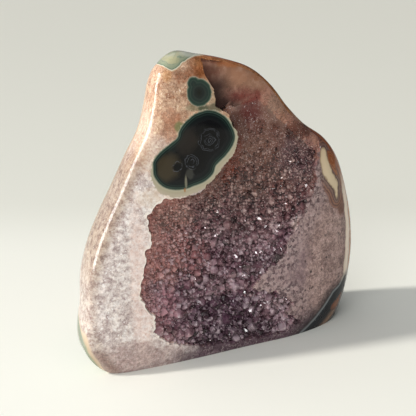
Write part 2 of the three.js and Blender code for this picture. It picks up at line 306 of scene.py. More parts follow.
def stone_points():
    """Rings of points over the front face to the rim and on over the back, and their triangles."""
    front_length = even_shares(True, [1])[2]
    back_length = even_shares(False, [1])[2]
    front_rings = round(front_length / FRONT_CELL)
    rings = [(k / front_rings, True, FRONT_CELL) for k in range(1, front_rings + 1)]
    left = back_length
    cell = FRONT_CELL
    while left > 2 * cell:
        cell = min(cell * BACK_CELL_GROWTH, MOST_BACK_CELL)
        left -= cell
        rings.append((left / back_length, False, cell))
    front_angles, front_table, _ = even_shares(True, [r[0] for r in rings if r[1]])
    back_table = even_shares(False, [r[0] for r in rings if not r[1]])[1]
    table = np.concatenate([front_table, back_table], axis=1)
    points = [np.array(face_point(np.zeros(1), np.zeros(1), True)).T]
    sides = [np.ones(1)]
    starts = []
    counts = []
    total = 1
    for number, (place, is_front, cell) in enumerate(rings):
        around = face_point(front_angles, table[:, number], is_front)
        loop = np.array(around).T
        length = np.linalg.norm(np.roll(loop, -1, axis=0) - loop, axis=1).sum()
        count = max(6, round(length / cell))
        angle = -math.pi + (np.arange(count) + 0.5) / count * 2 * math.pi
        share = np.interp(angle, front_angles, table[:, number], period=2 * math.pi)
        points.append(np.array(face_point(angle, share, is_front)).T)
        sides.append(np.full(count, 1.0 if is_front else 0.0))
        starts.append(total)
        counts.append(count)
        total += count
    points.append(np.array(face_point(np.zeros(1), np.zeros(1), False)).T)
    sides.append(np.zeros(1))
    faces = ring_strip(0, 1, starts[0], counts[0])
    faces = [face for face in faces if len(set(face)) == 3]
    for k in range(1, len(starts)):
        faces += ring_strip(starts[k - 1], counts[k - 1], starts[k], counts[k])
    last = ring_strip(starts[-1], counts[-1], total, 1)
    faces += [face for face in last if len(set(face)) == 3]
    return np.concatenate(points), np.concatenate(sides), faces


def carve_hollow(points, sides):
    """Brings points near the broken edge onto it and sinks those inside it."""
    front = np.flatnonzero(sides > 0.5)
    x = points[front, 0]
    z = points[front, 2]
    inside = hollow_inside(x, z)
    near = np.abs(inside) < 0.45 * FRONT_CELL
    step = 0.05
    slope_x = (hollow_inside(x[near] + step, z[near]) - inside[near]) / step
    slope_z = (hollow_inside(x[near], z[near] + step) - inside[near]) / step
    slope = np.maximum(slope_x ** 2 + slope_z ** 2, 0.5)
    x[near] -= inside[near] * slope_x / slope
    z[near] -= inside[near] * slope_z / slope
    inside[near] = 0
    y = points[front, 1].copy()
    y[near] = front_y(x[near], z[near])
    sunk = inside > 0
    bed = BED_DEPTH * smooth_step(0, BED_RUN_OUT, below_druse_top(x[sunk], z[sunk]))
    bed = bed + lumps(x[sunk], z[sunk], inside[sunk])
    y[sunk] = front_y(x[sunk], z[sunk]) + hollow_depth(x[sunk], z[sunk]) + bed
    points[front, 0] = x
    points[front, 1] = y
    points[front, 2] = z
    hollow = np.full(len(points), -float(FAR))
    hollow[front] = np.clip(inside, -FAR, FAR)
    return hollow


def shift_to_frame(points, node):
    """How far the form has to move so that its middle is the middle of the node's box."""
    low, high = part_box(node)
    above = points[points[:, 2] >= 0]
    middle = (above.min(axis=0) + above.max(axis=0)) / 2
    return np.array([(low.x + high.x) / 2 / MM - middle[0], (low.y + high.y) / 2 / MM - middle[1], 0])


# Outlines of the markings on the polished faces, as x and z in the front view
EYE = [
    (-12.9, 115.4), (-7.4, 113.3), (-3.6, 109.4), (-1.2, 103.7), (-2.4, 99.4), (-6.2, 95),
    (-10.8, 91.4), (-12.5, 87.6), (-16.6, 84.7), (-21.4, 83.3), (-26.5, 82.3), (-32.3, 82.8),
    (-36.8, 85.1), (-39.5, 88.9), (-39.9, 92.9), (-39.3, 96), (-36.2, 99.3), (-32, 102.2),
    (-28.5, 104.7), (-27.2, 107.9), (-24.8, 110.8), (-20.8, 113.7), (-16.9, 115),
]
CAP_EDGE = [
    (-36, 136.5), (-32, 135), (-30.3, 133.8), (-28.8, 133.1), (-27.2, 133.6), (-25.6, 134.7),
    (-24, 136.2), (-21.1, 137.5), (-17.6, 138.7), (-13, 138.6), (-8, 139),
]
CREAM_PATCH = [
    (46.4, 91.5), (49.3, 91), (50.6, 86), (52.2, 81.2), (54.7, 76.8), (56.7, 73), (56, 66.3),
    (53.9, 71.2), (49.8, 75.9), (47.2, 78.8), (46, 82.8), (45.5, 87.6),
]
AMBER_PATCH = [
    (51.4, 89.7), (55.4, 87.4), (56.6, 82.1), (56.7, 77.3), (54.9, 79.2), (52.4, 83), (50.7, 86.6),
]
RUSSET_PATCH = [(62.5, 14.6), (62.4, 9.8), (59.6, 7), (55.1, 7.2), (55.2, 10.7), (60, 12.9)]

# The inner edge of the bands round the right side: x and z, and how far forward it lies
RIND_EDGE = [
    (-12, 141), (0, 137.5), (12, 133), (23, 124.5), (32, 114), (42, 105), (47.5, 99), (53, 93),
    (58, 83), (61.5, 73), (63.5, 58), (64.4, 42), (63.6, 24.7), (60, 19.8), (55, 17.6),
    (51, 13.4), (47, 9.6), (42.8, 5.6), (38, 2.3), (35.6, 0.6), (33, -3),
]
RIND_CLOSING = [(30, -40), (140, -40), (140, 180), (-12, 180)]

# The same for the left side
LEFT_EDGE = [
    (-30, 142), (-37, 133), (-39, 119), (-42.5, 107), (-49, 95.5), (-55.5, 83), (-62, 71),
    (-68, 58), (-72.3, 44), (-73.6, 30), (-73.3, 22.3), (-71.4, 13.5), (-66.3, 4.2), (-60, -6),
]
LEFT_CLOSING = [(-60, -60), (-160, -60), (-160, 180), (-30, 180)]
RIND_DEPTH_RATE = 0.8


def outside_rind_edge(points):
    """How many millimetres of bands a point has behind it, over the right side and the back."""
    x, y, z = points.T
    ring = RIND_EDGE + RIND_CLOSING
    across = depth_inside(x, z, ring)
    edge_distance = chain_distance(x, z, RIND_EDGE)
    across = np.where(across > 0, edge_distance, -edge_distance)
    return np.clip(across, -60, 30) + RIND_DEPTH_RATE * np.maximum(0, y + 14)


def left_rind(points):
    """The same over the left side, where the bands begin at the rim and run forward at the foot."""
    x, y, z = points.T
    across = np.where(depth_inside(x, z, LEFT_EDGE + LEFT_CLOSING) > 0, 1, -1)
    across = np.clip(across * chain_distance(x, z, LEFT_EDGE), -60, 30)
    start = -8 - 15 * smooth_step(30, 12, z)
    return across + RIND_DEPTH_RATE * np.maximum(0, y - start)


def add_attribute(mesh, name, values):
    """Stores one number for each point of a mesh."""
    layer = mesh.attributes.new(name, "FLOAT", "POINT")
    layer.data.foreach_set("value", np.asarray(values, np.float32))


def stone_mesh():
    points, sides, faces = stone_points()
    hollow = carve_hollow(points, sides)
    is_front = sides > 0.5
    x, y, z = points.T
    mesh = bpy.data.meshes.new("agate_freeform_stone")
    mesh.from_pydata((points + stone_shift) * MM, [], faces)
    add_attribute(mesh, "hollow", hollow)
    add_attribute(mesh, "front", sides)
    add_attribute(mesh, "wall", np.minimum(chain_distance(x, z, RIDGE + LEDGE[:4]), FAR))
    cap_height = z - np.interp(x, *np.array(CAP_EDGE).T)
    cap = np.sign(cap_height) * np.minimum(chain_distance(x, z, CAP_EDGE), FAR)
    add_attribute(mesh, "cap", cap)
    for name, patch, steps in (
        ("eye", EYE, 8), ("cream", CREAM_PATCH, 6), ("amber", AMBER_PATCH, 6),
        ("russet", RUSSET_PATCH, 6),
    ):
        inside = depth_inside(x, z, closed_curve(patch, steps))
        add_attribute(mesh, name, np.where(is_front, np.clip(inside, -FAR, FAR), -FAR))
    add_attribute(mesh, "right_rind", outside_rind_edge(points))
    add_attribute(mesh, "left_rind", left_rind(points))
    solid = bmesh.new()
    solid.from_mesh(mesh)
    cut = bmesh.ops.bisect_plane(
        solid, geom=solid.verts[:] + solid.edges[:] + solid.faces[:],
        plane_co=(0, 0, 0), plane_no=(0, 0, 1), clear_inner=True,
    )
    rim = [item for item in cut["geom_cut"] if isinstance(item, bmesh.types.BMEdge)]
    bmesh.ops.triangle_fill(solid, edges=rim, use_beauty=True, normal=(0, 0, -1))
    bmesh.ops.recalc_face_normals(solid, faces=solid.faces)
    solid.to_mesh(mesh)
    solid.free()
    mesh.shade_smooth()
    mesh.set_sharp_from_angle(angle=SHARP_ANGLE)
    return mesh


stone_shift = shift_to_frame(stone_points()[0], "agate_stone")


# Building blocks of the node trees
def paint(hex_colour):
    """A colour written as a web colour, in the linear values that a shader takes."""
    values = [int(hex_colour[i:i + 2], 16) / 255 for i in (0, 2, 4)]
    linear = [v / 12.92 if v <= 0.04045 else ((v + 0.055) / 1.055) ** 2.4 for v in values]
    return (*linear, 1)


def node(tree, kind, links=None, **settings):
    """Adds a node, sets it up, and joins or fills in its inputs."""
    made = tree.nodes.new(kind)
    for name, value in settings.items():
        setattr(made, name, value)
    for key, value in (links or {}).items():
        if isinstance(value, bpy.types.NodeSocket):
            tree.links.new(value, made.inputs[key])
        else:
            made.inputs[key].default_value = value
    return made


def tree_of(*values):
    """The node tree of the first socket among the values."""
    return next(value.id_data for value in values if isinstance(value, bpy.types.NodeSocket))


def maths(operation, first, second=0.0):
    tree = tree_of(first, second)
    return node(tree, "ShaderNodeMath", {0: first, 1: second}, operation=operation).outputs[0]


def times(*values):
    """The product of two or more values."""
    product = values[0]
    for value in values[1:]:
        product = maths("MULTIPLY", product, value)
    return product


def plus(first, second):
    return maths("ADD", first, second)


def minus(first, second):
    return maths("SUBTRACT", first, second)


def rise(value, low, high, smooth=True):
    """0 at low and 1 at high."""
    kind = "SMOOTHSTEP" if smooth else "LINEAR"
    inputs = {0: value, 1: low, 2: high}
    return node(value.id_data, "ShaderNodeMapRange", inputs, interpolation_type=kind).outputs[0]


def mix(share, below, above, blend="MIX"):
    """Lays one colour over another. Either may be written as a web colour."""
    colours = [paint(side) if isinstance(side, str) else side for side in (below, above)]
    inputs = {0: share, 6: colours[0], 7: colours[1]}
    tree = tree_of(share, *colours)
    return node(tree, "ShaderNodeMix", inputs, data_type="RGBA", blend_type=blend).outputs[2]


def bands(value, stops):
    """A colour that changes with a value. stops pairs places along the value with colours."""
    start = stops[0][0]
    end = stops[-1][0]
    share = rise(value, start, end, smooth=False)
    made = node(value.id_data, "ShaderNodeValToRGB", {0: share})
    ramp = made.color_ramp
    ramp.elements[0].color = paint(stops[0][1])
    ramp.elements[1].color = paint(stops[-1][1])
    for place, colour in stops[1:-1]:
        ramp.elements.new((place - start) / (end - start)).color = paint(colour)
    return made.outputs[0]


def clouds(vector, size, detail=3.0, roughness=0.5):
    """Soft random values about 0.5 that change over a size in millimetres."""
    return node(vector.id_data, "ShaderNodeTexNoise", {
        "Vector": vector, "Scale": 1 / size, "Detail": detail, "Roughness": roughness,
    }).outputs[0]


def drift(vector, amount, size, detail=3.0, roughness=0.5):
    """Soft random values about 0, up to half the amount to either side."""
    return times(minus(clouds(vector, size, detail, roughness), 0.5), amount)


def coordinates(vector):
    return node(vector.id_data, "ShaderNodeSeparateXYZ", {0: vector}).outputs


def random_cells(vector, per_mm):
    """Irregular cells: how far the middle of each is, and three random values for each."""
    tree = vector.id_data
    cells = node(tree, "ShaderNodeTexVoronoi", {"Vector": vector, "Scale": per_mm}).outputs
    chances = node(tree, "ShaderNodeSeparateColor", {0: cells["Color"]}).outputs
    return cells["Distance"], chances


def attribute(tree, name):
    return node(tree, "ShaderNodeAttribute", attribute_name=name).outputs["Fac"]


def new_group(name, inputs, outputs):
    """An empty shader group with named inputs and outputs."""
    group = bpy.data.node_groups.new(name, "ShaderNodeTree")
    for socket_name, kind, default in inputs:
        socket = group.interface.new_socket(socket_name, in_out="INPUT", socket_type=kind)
        if default is not None:
            socket.default_value = default
    for socket_name, kind in outputs:
        group.interface.new_socket(socket_name, in_out="OUTPUT", socket_type=kind)
    start = group.nodes.new("NodeGroupInput")
    end = group.nodes.new("NodeGroupOutput")
    return group, start.outputs, end.inputs


def use_group(group, links):
    return node(tree_of(*links.values()), "ShaderNodeGroup", links, node_tree=group).outputs


def quartz(vector, grain_size, cloud_size):
    """The values of the shader group of granular quartz."""
    sizes = {"Grain size": grain_size, "Cloud size": cloud_size}
    return use_group(quartz_grain, {"Vector": vector, **sizes})


def new_material(name):
    """A material with its tree and its shader."""
    material = bpy.data.materials.new(name)
    material.use_nodes = True
    return material, material.node_tree, material.node_tree.nodes["Principled BSDF"]


def set_inputs(shader, values):
    for name, value in values.items():
        shader.inputs[name].default_value = value


def quartz_grain_group():
    """Quartz that grew as small interlocked grains, each a little lighter or darker."""
    group, given, result = new_group(
        "Quartz grain",
        [
            ("Vector", "NodeSocketVector", None),
            ("Grain size", "NodeSocketFloat", 1.2),
            ("Cloud size", "NodeSocketFloat", 5.0),
        ],
        [("Grain", "NodeSocketFloat"), ("Cloud", "NodeSocketFloat"), ("Speck", "NodeSocketFloat")],
    )
    warp = node(group, "ShaderNodeTexNoise", {
        "Vector": given["Vector"], "Scale": 0.9, "Detail": 2.0,
    }).outputs["Color"]
    moved = node(group, "ShaderNodeVectorMath", {
        0: given["Vector"],
        1: node(group, "ShaderNodeVectorMath", {0: warp, "Scale": 1.1}, operation="SCALE").outputs[0],
    }, operation="ADD").outputs[0]
    grains_per_mm = maths("DIVIDE", 1.0, given["Grain size"])
    from_middle, chances = random_cells(moved, grains_per_mm)
    fine = node(group, "ShaderNodeTexNoise", {
        "Vector": moved, "Scale": times(grains_per_mm, 1.3),
        "Detail": 3.0, "Roughness": 0.7,
    }).outputs[0]
    grain = plus(times(rise(chances[0], 0.1, 0.9), 0.45), times(rise(fine, 0.36, 0.64), 0.55))
    broad = node(group, "ShaderNodeTexNoise", {
        "Vector": moved, "Scale": maths("DIVIDE", 1.0, given["Cloud size"]),
        "Detail": 6.0, "Roughness": 0.7,
    }).outputs[0]
    speck = times(rise(from_middle, 0.34, 0.16), rise(chances[1], 0.72, 0.8))
    group.links.new(grain, result["Grain"])
    group.links.new(rise(broad, 0.36, 0.64), result["Cloud"])
    group.links.new(speck, result["Speck"])
    return group


def spot_group():
    """A soft-edged patch of another colour, laid over what is below it."""
    group, given, result = new_group(
        "Spot of colour",
        [
            ("Vector", "NodeSocketVector", None),
            ("Below", "NodeSocketColor", None),
            ("Colour", "NodeSocketColor", None),
            ("X", "NodeSocketFloat", 0.0),
            ("Z", "NodeSocketFloat", 0.0),
            ("Half width", "NodeSocketFloat", 10.0),
            ("Half height", "NodeSocketFloat", 10.0),
            ("Wander", "NodeSocketFloat", 0.5),
            ("Strength", "NodeSocketFloat", 1.0),
        ],
        [("Colour", "NodeSocketColor")],
    )
    place = coordinates(given["Vector"])
    across = maths("DIVIDE", minus(place[0], given["X"]), given["Half width"])
    up = maths("DIVIDE", minus(place[2], given["Z"]), given["Half height"])
    away = maths("SQRT", plus(times(across, across), times(up, up)))
    rough = minus(clouds(given["Vector"], 6.0, 4.0, 0.6), 0.5)
    warped = plus(away, times(rough, times(given["Wander"], 2.0)))
    share = times(rise(warped, 1.15, 0.55), given["Strength"])
    group.links.new(mix(share, given["Below"], given["Colour"]), result["Colour"])
    return group


quartz_grain = quartz_grain_group()
spot_of_colour = spot_group()


def spots(vector, below, patches):
    """Lays soft patches over a colour: (colour, x, z, half width, half height, wander, strength)."""
    for colour, x, z, width, height, wander, strength in patches:
        below = use_group(spot_of_colour, {
            "Vector": vector, "Below": below, "Colour": paint(colour), "X": x, "Z": z,
            "Half width": width, "Half height": height, "Wander": wander, "Strength": strength,
        })["Colour"]
    return below


def millimetres(tree):
    """Object coordinates in millimetres, with x and z as in the outline."""
    place = node(tree, "ShaderNodeTexCoord").outputs["Object"]
    return node(tree, "ShaderNodeMapping", {
        "Vector": place, "Location": tuple(-stone_shift), "Scale": (1 / MM, 1 / MM, 1 / MM),
    }).outputs[0]


def round_distance(vector, x, z):
    """Distance in the front view to a point."""
    place = coordinates(vector)
    across = minus(place[0], x)
    up = minus(place[2], z)
    return maths("SQRT", plus(times(across, across), times(up, up)))


def ring_line(distance, radius, half_width):
    """1 on a thin ring at a radius, and 0 away from it."""
    away = maths("ABSOLUTE", minus(distance, radius))
    return rise(away, half_width, half_width * 0.3)


def quartz_colour(values, light, dark, grain_share, speck_colour, speck_share):
    """Granular quartz from a light and a dark colour, with a scatter of brighter grains."""
    value = plus(times(values["Grain"], grain_share), times(values["Cloud"], 1 - grain_share))
    colour = mix(value, dark, light)
    return mix(times(values["Speck"], speck_share), colour, speck_colour)


def body_colour(vector):
    """The granular quartz of the front: whitish at the left, tan above and mauve at the right."""
    place = coordinates(vector)
    frosty = quartz(vector, 1.2, 3.4)
    sandy = quartz(vector, 0.9, 6.0)
    left = quartz_colour(frosty, "fdf5ef", "9c8583", 0.45, "ffffff", 0.7)
    upper = quartz_colour(sandy, "e3c6aa", "96644a", 0.6, "fbe9d6", 0.75)
    right = quartz_colour(sandy, "bda19a", "624a48", 0.6, "d8c4be", 0.4)
    wander = drift(vector, 26.0, 12.0)
    height = plus(place[2], wander)
    colour = mix(rise(height, 84, 110), left, upper)
    across = plus(place[0], wander)
    below_rim = times(rise(across, -14, 2), rise(height, 112, 98))
    colour = mix(below_rim, colour, right)
    rust = quartz_colour(sandy, "b07a52", "7d4828", 0.6, "ecc8a0", 0.7)
    over_hollow = times(rise(height, 98, 112), rise(place[0], -5, 3))
    by_ridge = times(rise(place[2], 126, 131), rise(place[0], -24, -16))
    over_hollow = maths("MAXIMUM", over_hollow, by_ridge)
    return mix(over_hollow, colour, rust)


def eye_bands(vector, below, inside, front):
    """The large eye: a cream border, thin green bands, a black heart and an olive left lobe."""
    place = coordinates(vector)
    waver = drift(vector, 0.5, 3.0)
    inside = plus(inside, waver)
    toward_lower_right = minus(times(place[0], 0.5), place[2])
    low_side = rise(toward_lower_right, -118, -98)
    jagged = drift(vector, 2.2, 1.2)
    border = plus(plus(inside, jagged), times(low_side, 2.8))
    colour = mix(rise(border, -0.7, -0.1), below, bands(inside, [
        (-2.4, "b5a995"), (-1.2, "aca48c"), (-0.5, "b4ad96"), (-0.2, "8c8d7a"), (0.0, "5b665a"),
        (0.25, "2c3f35"), (0.6, "1e2d28"), (0.85, "3c5046"), (1.05, "182622"), (1.5, "101a19"),
        (1.8, "1f2d29"), (2.1, "0e1616"), (3.0, "101516"), (3.6, "151718"), (4.6, "0b0c0e"),
        (7.0, "050506"), (12, "030304"),
    ]))
    heart = rise(inside, 1.0, 2.6)
    olive = spots(vector, colour, [
        ("443b2b", -34.5, 92.5, 7.5, 7.0, 0.3, 0.8),
        ("29231e", -24.0, 103.0, 5.5, 6.5, 0.4, 0.7),
        ("060607", -29.0, 92.2, 2.6, 2.3, 0.1, 1.0),
    ])
    colour = mix(heart, colour, olive)
    cusps = node(vector.id_data, "ShaderNodeTexVoronoi", {
        "Vector": vector, "Scale": 0.5, "Randomness": 0.9}).outputs["Distance"]
    cusps = times(minus(cusps, 0.45), 1.3)
    gaps = rise(clouds(vector, 2.4), 0.36, 0.52)
    for x, z, radii, strength in (
        (-13.5, 102.7, (5.1, 4.3, 2.6, 1.8, 0.8), 0.45),
        (-29.0, 92.2, (2.2,), 0.8),
        (-22.3, 93.8, (3.2, 2.2, 1.0), 0.5),
    ):
        away = plus(round_distance(vector, x, z), cusps)
        for radius in radii:
            line = times(ring_line(away, radius, 0.24), gaps, heart, strength)
            colour = mix(line, colour, "565960")
    cracked = spots(vector, colour, [
        ("4c4c46", -23.6, 88.2, 1.9, 2.6, 1.4, 0.5),
        ("8a8672", -25.4, 85.2, 0.7, 3.4, 0.25, 0.7),
        ("a5682f", -26.1, 81.8, 0.6, 1.1, 0.2, 0.7),
    ])
    return mix(front, colour, cracked)


def small_eye(vector, below, front):
    """The small round eye above the large one, with a bud on its upper left."""
    main = minus(5.6, round_distance(vector, -17.2, 123.2))
    bud = minus(2.8, round_distance(vector, -19.6, 127.0))
    inside = maths("MAXIMUM", main, bud)
    waver = drift(vector, 0.9, 2.5)
    inside = plus(inside, waver)
    buds = spots(vector, below, [
        ("7a775c", -19.5, 117.2, 5.0, 2.0, 0.4, 0.7),
        ("5f5c4b", -9.5, 116.6, 5.5, 2.4, 0.4, 0.85),
        ("4c5341", -15.6, 116.6, 3.2, 2.0, 0.3, 0.9),
        ("757b52", -27.4, 109.3, 2.4, 2.8, 0.15, 0.85),
    ])
    below = mix(front, below, buds)
    ragged = plus(inside, drift(vector, 1.6, 1.2))
    edge = times(rise(ragged, -0.8, -0.1), front)
    return mix(edge, below, bands(inside, [
        (-1.5, "bd9f88"), (-0.7, "bca58f"), (-0.3, "9c9482"), (0.0, "5f6e5e"), (0.3, "37493e"),
        (0.8, "2f3e37"), (1.3, "39453e"), (1.8, "2c3833"), (2.8, "333a35"), (3.4, "2b302d"),
        (5.6, "272823"),
    ]))


def cap_bands(vector, below, inside):
    """The green chalcedony cap on the top of the stone."""
    waver = minus(clouds(vector, 3.0), 0.5)
    inside = plus(inside, waver)
    deep = rise(inside, 0.6, 2.0)
    lines = plus(inside, times(waver, deep, 4.0))
    cap = bands(lines, [
        (-0.9, "9a5a32"), (-0.5, "c4a484"), (-0.1, "d2d0be"), (0.15, "5b6c58"), (0.55, "828e78"),
        (1.5, "91967e"), (1.75, "6f7f6f"), (2.0, "989b84"), (3.3, "9c9a80"), (3.6, "7f8b75"),
        (3.9, "9d9e88"), (5.5, "a8aa98"), (5.8, "8a9280"), (6.1, "adb0a2"), (9, "a4a79a"),
    ])
    cap = spots(vector, cap, [
        ("a9a581", -27.5, 137.0, 3.0, 1.6, 0.5, 0.6),
        ("b9bbb0", -18, 139.5, 6.0, 1.8, 0.5, 0.7),
    ])
    return mix(rise(inside, -0.9, -0.5), below, cap)


def right_bands(vector, below, right):
    """Bands round the right side, rust over the top rim and blue-black low down."""
    height = coordinates(vector)[2]
    noise_share = minus(clouds(vector, 9.0, 4.0), 0.5)
    waver = times(noise_share, 3.2)
    height = plus(height, times(noise_share, 10.0))
    value = plus(right, waver)
    foot_height = minus(height, times(value, 0.3))
    # The pale stops just past the edge are partly a white band and partly a painted reflection of the
    # bright room along the right rim.
    middle = bands(value, [
        (-3.0, "7d6662"), (-2.0, "806c68"), (-1.6, "7d6a66"), (-0.9, "e6d2bf"), (0.5, "f2e0ce"),
        (1.8, "f2e0ce"), (2.6, "b59a86"), (3.2, "a8663e"), (5.2, "8f5431"), (6.0, "c9a381"),
        (8.5, "b98f6c"), (9.4, "d6c0a8"), (11.5, "a98a72"), (14, "9f6440"), (15, "c0a184"),
        (19, "9a8474"), (22, "c4b09a"), (24, "a47b58"), (29, "8f7d74"), (33, "b39c86"),
        (38, "83706a"), (46, "9a8578"), (60, "776a68"),
    ])
    lower = bands(plus(right, times(waver, 0.4)), [
        (-3, "4f4443"), (-1.2, "3a3536"), (-0.5, "6a6c6c"), (0.1, "85888a"), (0.8, "2c2f33"),
        (3.5, "1b1c20"), (6.5, "29282a"), (8.5, "6f5546"), (10, "8f7058"), (12, "4f4038"),
        (15, "2c3634"), (22, "6f5d50"), (30, "474e49"), (38, "7d6a5c"), (46, "5f5a55"),
        (60, "776a68"),
    ])
    upper = bands(value, [
        (-3, "8f5a3e"), (-1.5, "94532f"), (0.5, "8a4a2c"), (2.5, "9a6240"), (4.5, "b98f6c"),
        (7, "a9764f"), (9.5, "c4a888"), (14, "9f7458"), (19, "b59a7c"), (24, "94674a"),
        (30, "a38a74"), (38, "83706a"), (60, "776a68"),
    ])
    colour = mix(rise(foot_height, 27, 19), middle, lower)
    colour = mix(rise(height, 66, 80), colour, upper)
    return mix(rise(value, -1.7, -1.1), below, colour)


def left_bands(vector, below, left):
    """Bands over the left side, a cream line with green outside it at the foot, and painted shade towards
    the rim.
    """
    place = coordinates(vector)
    waver = drift(vector, 1.6, 9.0, 4.0)
    foot = rise(plus(place[2], waver), 36, 24)
    value = minus(plus(left, waver), times(foot, 0.7))
    upper = bands(value, [
        (-1.0, "a08e7e"), (0.5, "94806c"), (1.5, "a89276"), (2.4, "8a7058"), (3.4, "a8906f"),
        (4.4, "b39c7e"), (5.6, "bfa888"), (6.6, "c4ae90"), (7.3, "94613c"), (8.2, "a57a54"),
        (9.2, "c0a688"), (12, "8f7d6c"), (18, "a8947c"), (24, "8d735e"), (32, "9f8f80"),
        (40, "83706a"),
    ])
    lower = bands(value, [
        (-1.0, "b09a8c"), (-0.2, "cbb79f"), (0.7, "b8a58c"), (1.3, "848c76"), (3.0, "7c8370"),
        (5.0, "6f7a68"), (7.5, "868a76"), (12, "5a6658"), (20, "6b766a"), (28, "525c57"),
        (40, "83706a"),
    ])
    upper = mix(times(rise(place[2], 88, 108), 0.6), upper, "d9b898")
    colour = mix(foot, upper, lower)
    side = rise(plus(place[0], waver), -26, -34)
    # Painted shade: the side is darkened towards the rim, where it turns to the key light; less low down
    # and none at the top.
    higher = plus(0.6, times(rise(place[2], 30, 60), 0.4))
    rim = times(side, rise(left, -7.5, -2.5), higher, rise(place[2], 108, 90))
    below = mix(rim, below, "c2b7aa", "MULTIPLY")
    start = rise(value, -1.0, 0.2)
    return mix(times(side, start), below, colour)


def hollow_ground_group():
    """The ground colour of the whole hollow: tan and rust above, brown to deep purple below."""
    tree, given, result = new_group(
        "Ground of the hollow",
        [("Vector", "NodeSocketVector", None)],
        [("Colour", "NodeSocketColor")],
    )
    vector = given["Vector"]
    patchy = quartz(vector, 1.6, 8.0)
    place = coordinates(vector)
    wander = drift(vector, 30.0, 14.0)
    height = plus(place[2], wander)
    upper = mix(patchy["Cloud"], "8c5a4a", "ae806e")
    lower = mix(patchy["Cloud"], "8a6170", "b48e96")
    colour = mix(rise(height, 96, 44), upper, lower)
    colour = spots(vector, colour, [
        ("8f6a54", 8, 129, 18, 8, 0.9, 0.8),
        ("a87a60", 4, 129, 5, 4, 0.9, 0.6),
        ("a8693f", 2, 134.5, 8, 2.2, 0.8, 0.7),
        ("94603f", 15, 127.5, 6, 2.0, 0.9, 0.6),
        ("8a6248", 26, 114, 3, 9, 0.9, 0.6),
        ("9a7c6a", 23, 116, 6, 9, 0.9, 0.7),
        ("6f463e", 4, 119, 9, 5, 0.9, 0.6),
        ("7a5a50", 6, 110, 8, 5, 0.9, 0.6),
        ("7d3630", 10.5, 112, 6, 9, 0.8, 0.8),
        ("7d3a32", 3.5, 119.5, 7, 3, 0.8, 0.75),
        ("6e4a42", 3, 104, 6, 8, 0.8, 0.6),
        ("a85a46", -3, 93, 9, 13, 0.5, 0.8),
        ("a06c60", 24, 96, 8, 8, 0.6, 0.5),
        ("85685f", 10, 76, 8, 6, 0.6, 0.5),
        # The pale red patches at the left are partly the crystals' colour and partly painted light
        # against the shade beside the ledge.
        ("d39d90", -30, 68, 12, 9, 0.7, 0.8),
        ("e6a49c", -34, 51, 13, 16, 0.7, 0.8),
        ("bd7d7a", -20, 50, 9, 14, 0.7, 0.55),
        ("d09aa4", -38, 28, 9, 10, 0.5, 0.8),
        ("5e4056", -6, 20, 22, 11, 0.7, 0.8),
        ("7a5658", 8, 62, 14, 10, 0.7, 0.5),
        ("6a4a54", 14, 40, 13, 8, 0.7, 0.6),
        ("4e3848", -2, 8, 30, 7, 0.5, 0.8),
        ("ead2cc", 33, 58, 6, 5, 0.6, 0.8),
        ("6f5052", 38, 67, 6, 4, 0.6, 0.7),
        ("8a6a74", 34, 88, 12, 12, 0.6, 0.6),
        ("b3999c", 26, 20, 8, 9, 0.6, 0.6),
        ("5c3024", 36, 101.5, 9, 5, 0.5, 0.85),
    ])
    tree.links.new(colour, result["Colour"])
    return tree


hollow_ground = hollow_ground_group()


